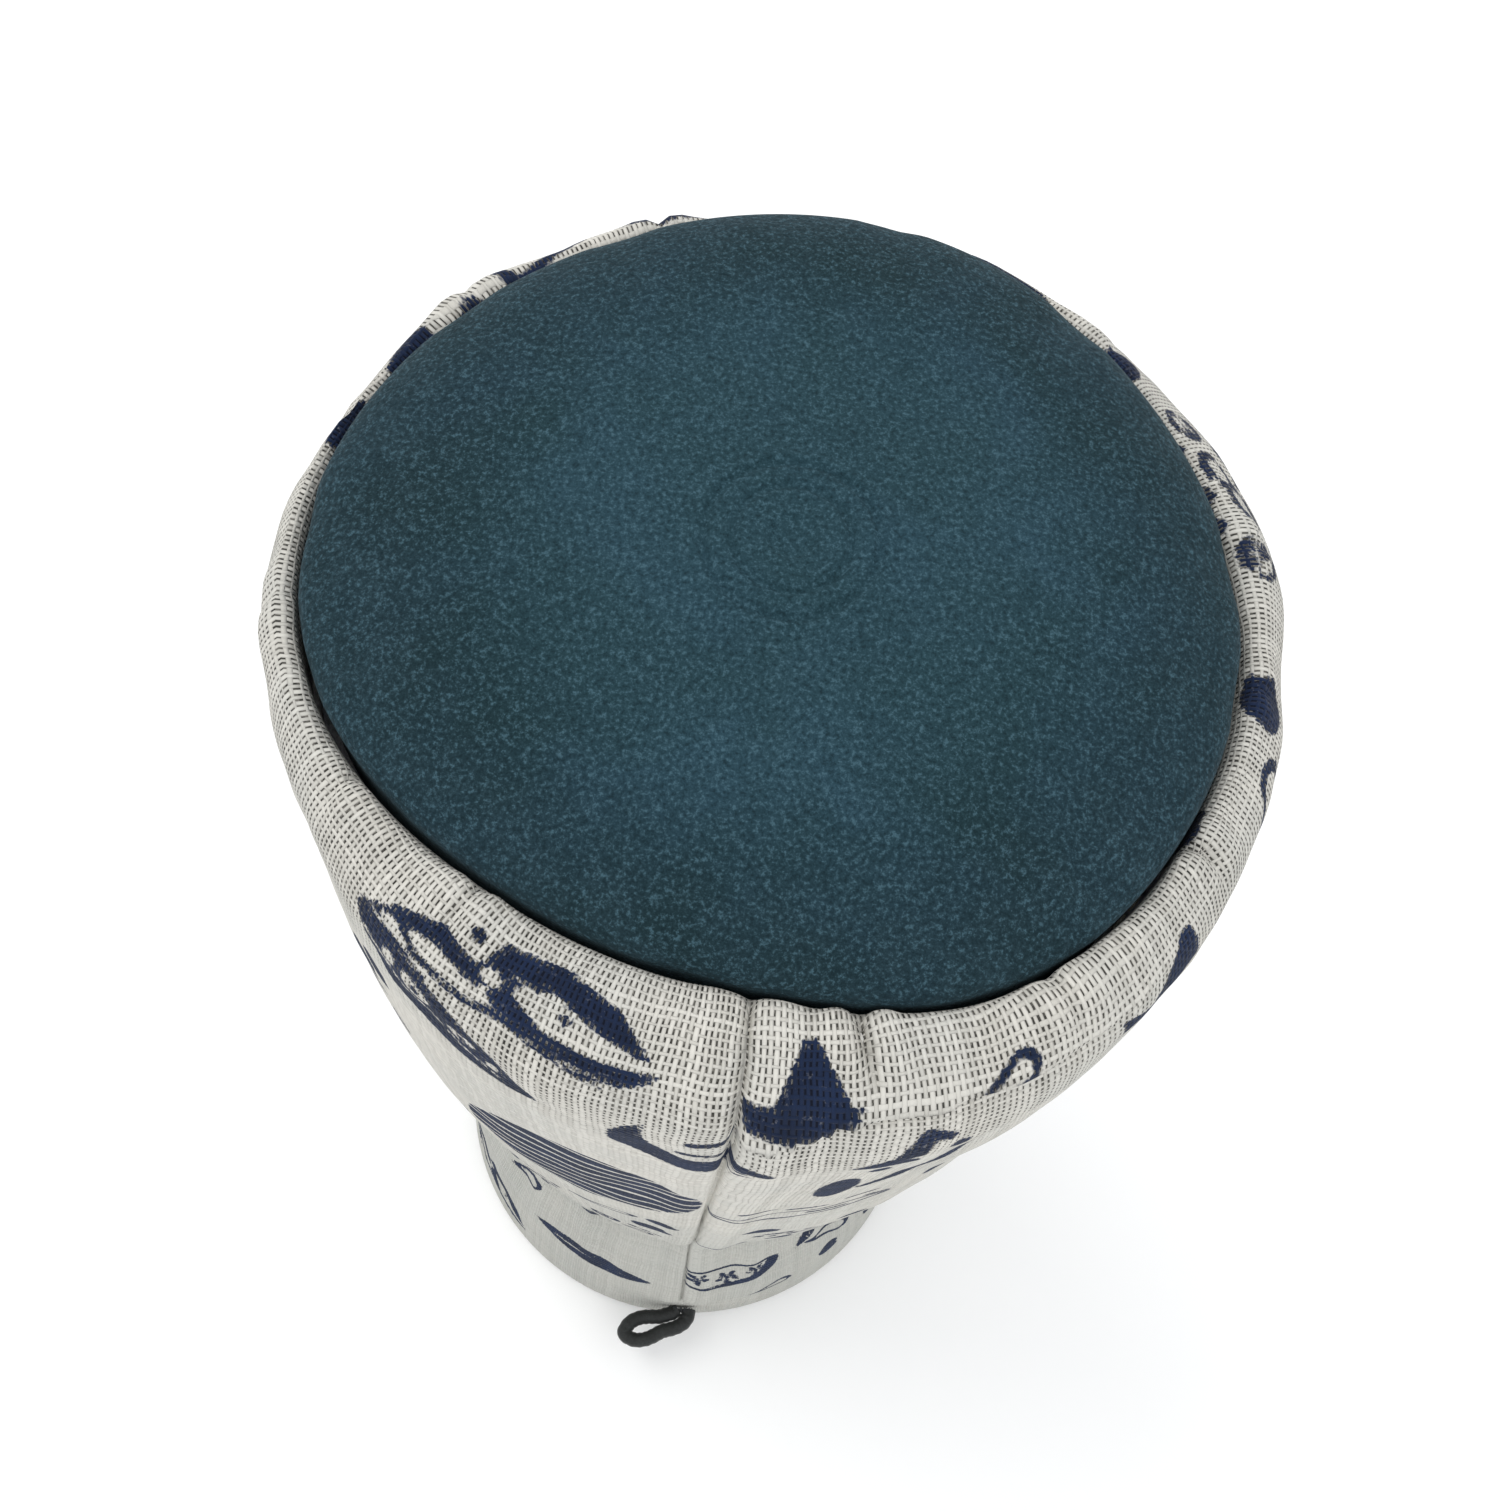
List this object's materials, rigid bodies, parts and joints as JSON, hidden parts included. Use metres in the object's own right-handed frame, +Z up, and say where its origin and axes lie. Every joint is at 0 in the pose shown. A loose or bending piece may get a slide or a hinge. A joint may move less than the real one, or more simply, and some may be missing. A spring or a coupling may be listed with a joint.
{
  "type": "golf club head cover",
  "caption": "Soft padded barrel cover for a driver golf club head, printed cloth body with a narrowed neck, flared skirt, domed nubuck cap and cord hanging loop.",
  "frame": {"origin": "straight under the rim's centre, in the plane of the hem that the cover stands on", "axes": "+Z up the barrel's axis towards the cap, -Y towards the side seam and the hanging loop"},
  "size_m": [0.13, 0.13, 0.269],
  "materials": {
    "printed_cloth": "matte open weave with an indigo print",
    "teal_nubuck": "matte nap",
    "fleece": "matte pile",
    "wadding": "matte fibre",
    "backing_felt": "matte felt",
    "elastic_webbing": "matte ribbed webbing",
    "casing_tape": "matte twill",
    "thread": "satin twist",
    "elastic_cord": "matte braid over rubber"
  },
  "bodies": {
    "cover": {"outer_cloth": "printed_cloth", "rim_filler": "wadding", "body_wadding": "wadding", "lining_tube": "fleece", "lining_top": "fleece", "cap_leather": "teal_nubuck", "cap_filling": "wadding", "cap_backing": "backing_felt", "elastic_casing": "casing_tape", "waist_elastic": "elastic_webbing", "cap_seam_thread": "thread", "side_seam_thread": "thread", "hem_thread": "thread", "casing_thread_upper": "thread", "casing_thread_lower": "thread", "loop_bartack": "thread"},
    "loop": {"hang_loop": "elastic_cord"}
  },
  "joints": [
    {"name": "loop_swing", "type": "hinge", "parent": "cover", "child": "loop", "pos_m": [0, -0.0501, 0.0095], "axis": [-1, 0, 0], "range_deg": [-80, 80], "stiffness_Nm_per_rad": 0.001}
  ]
}
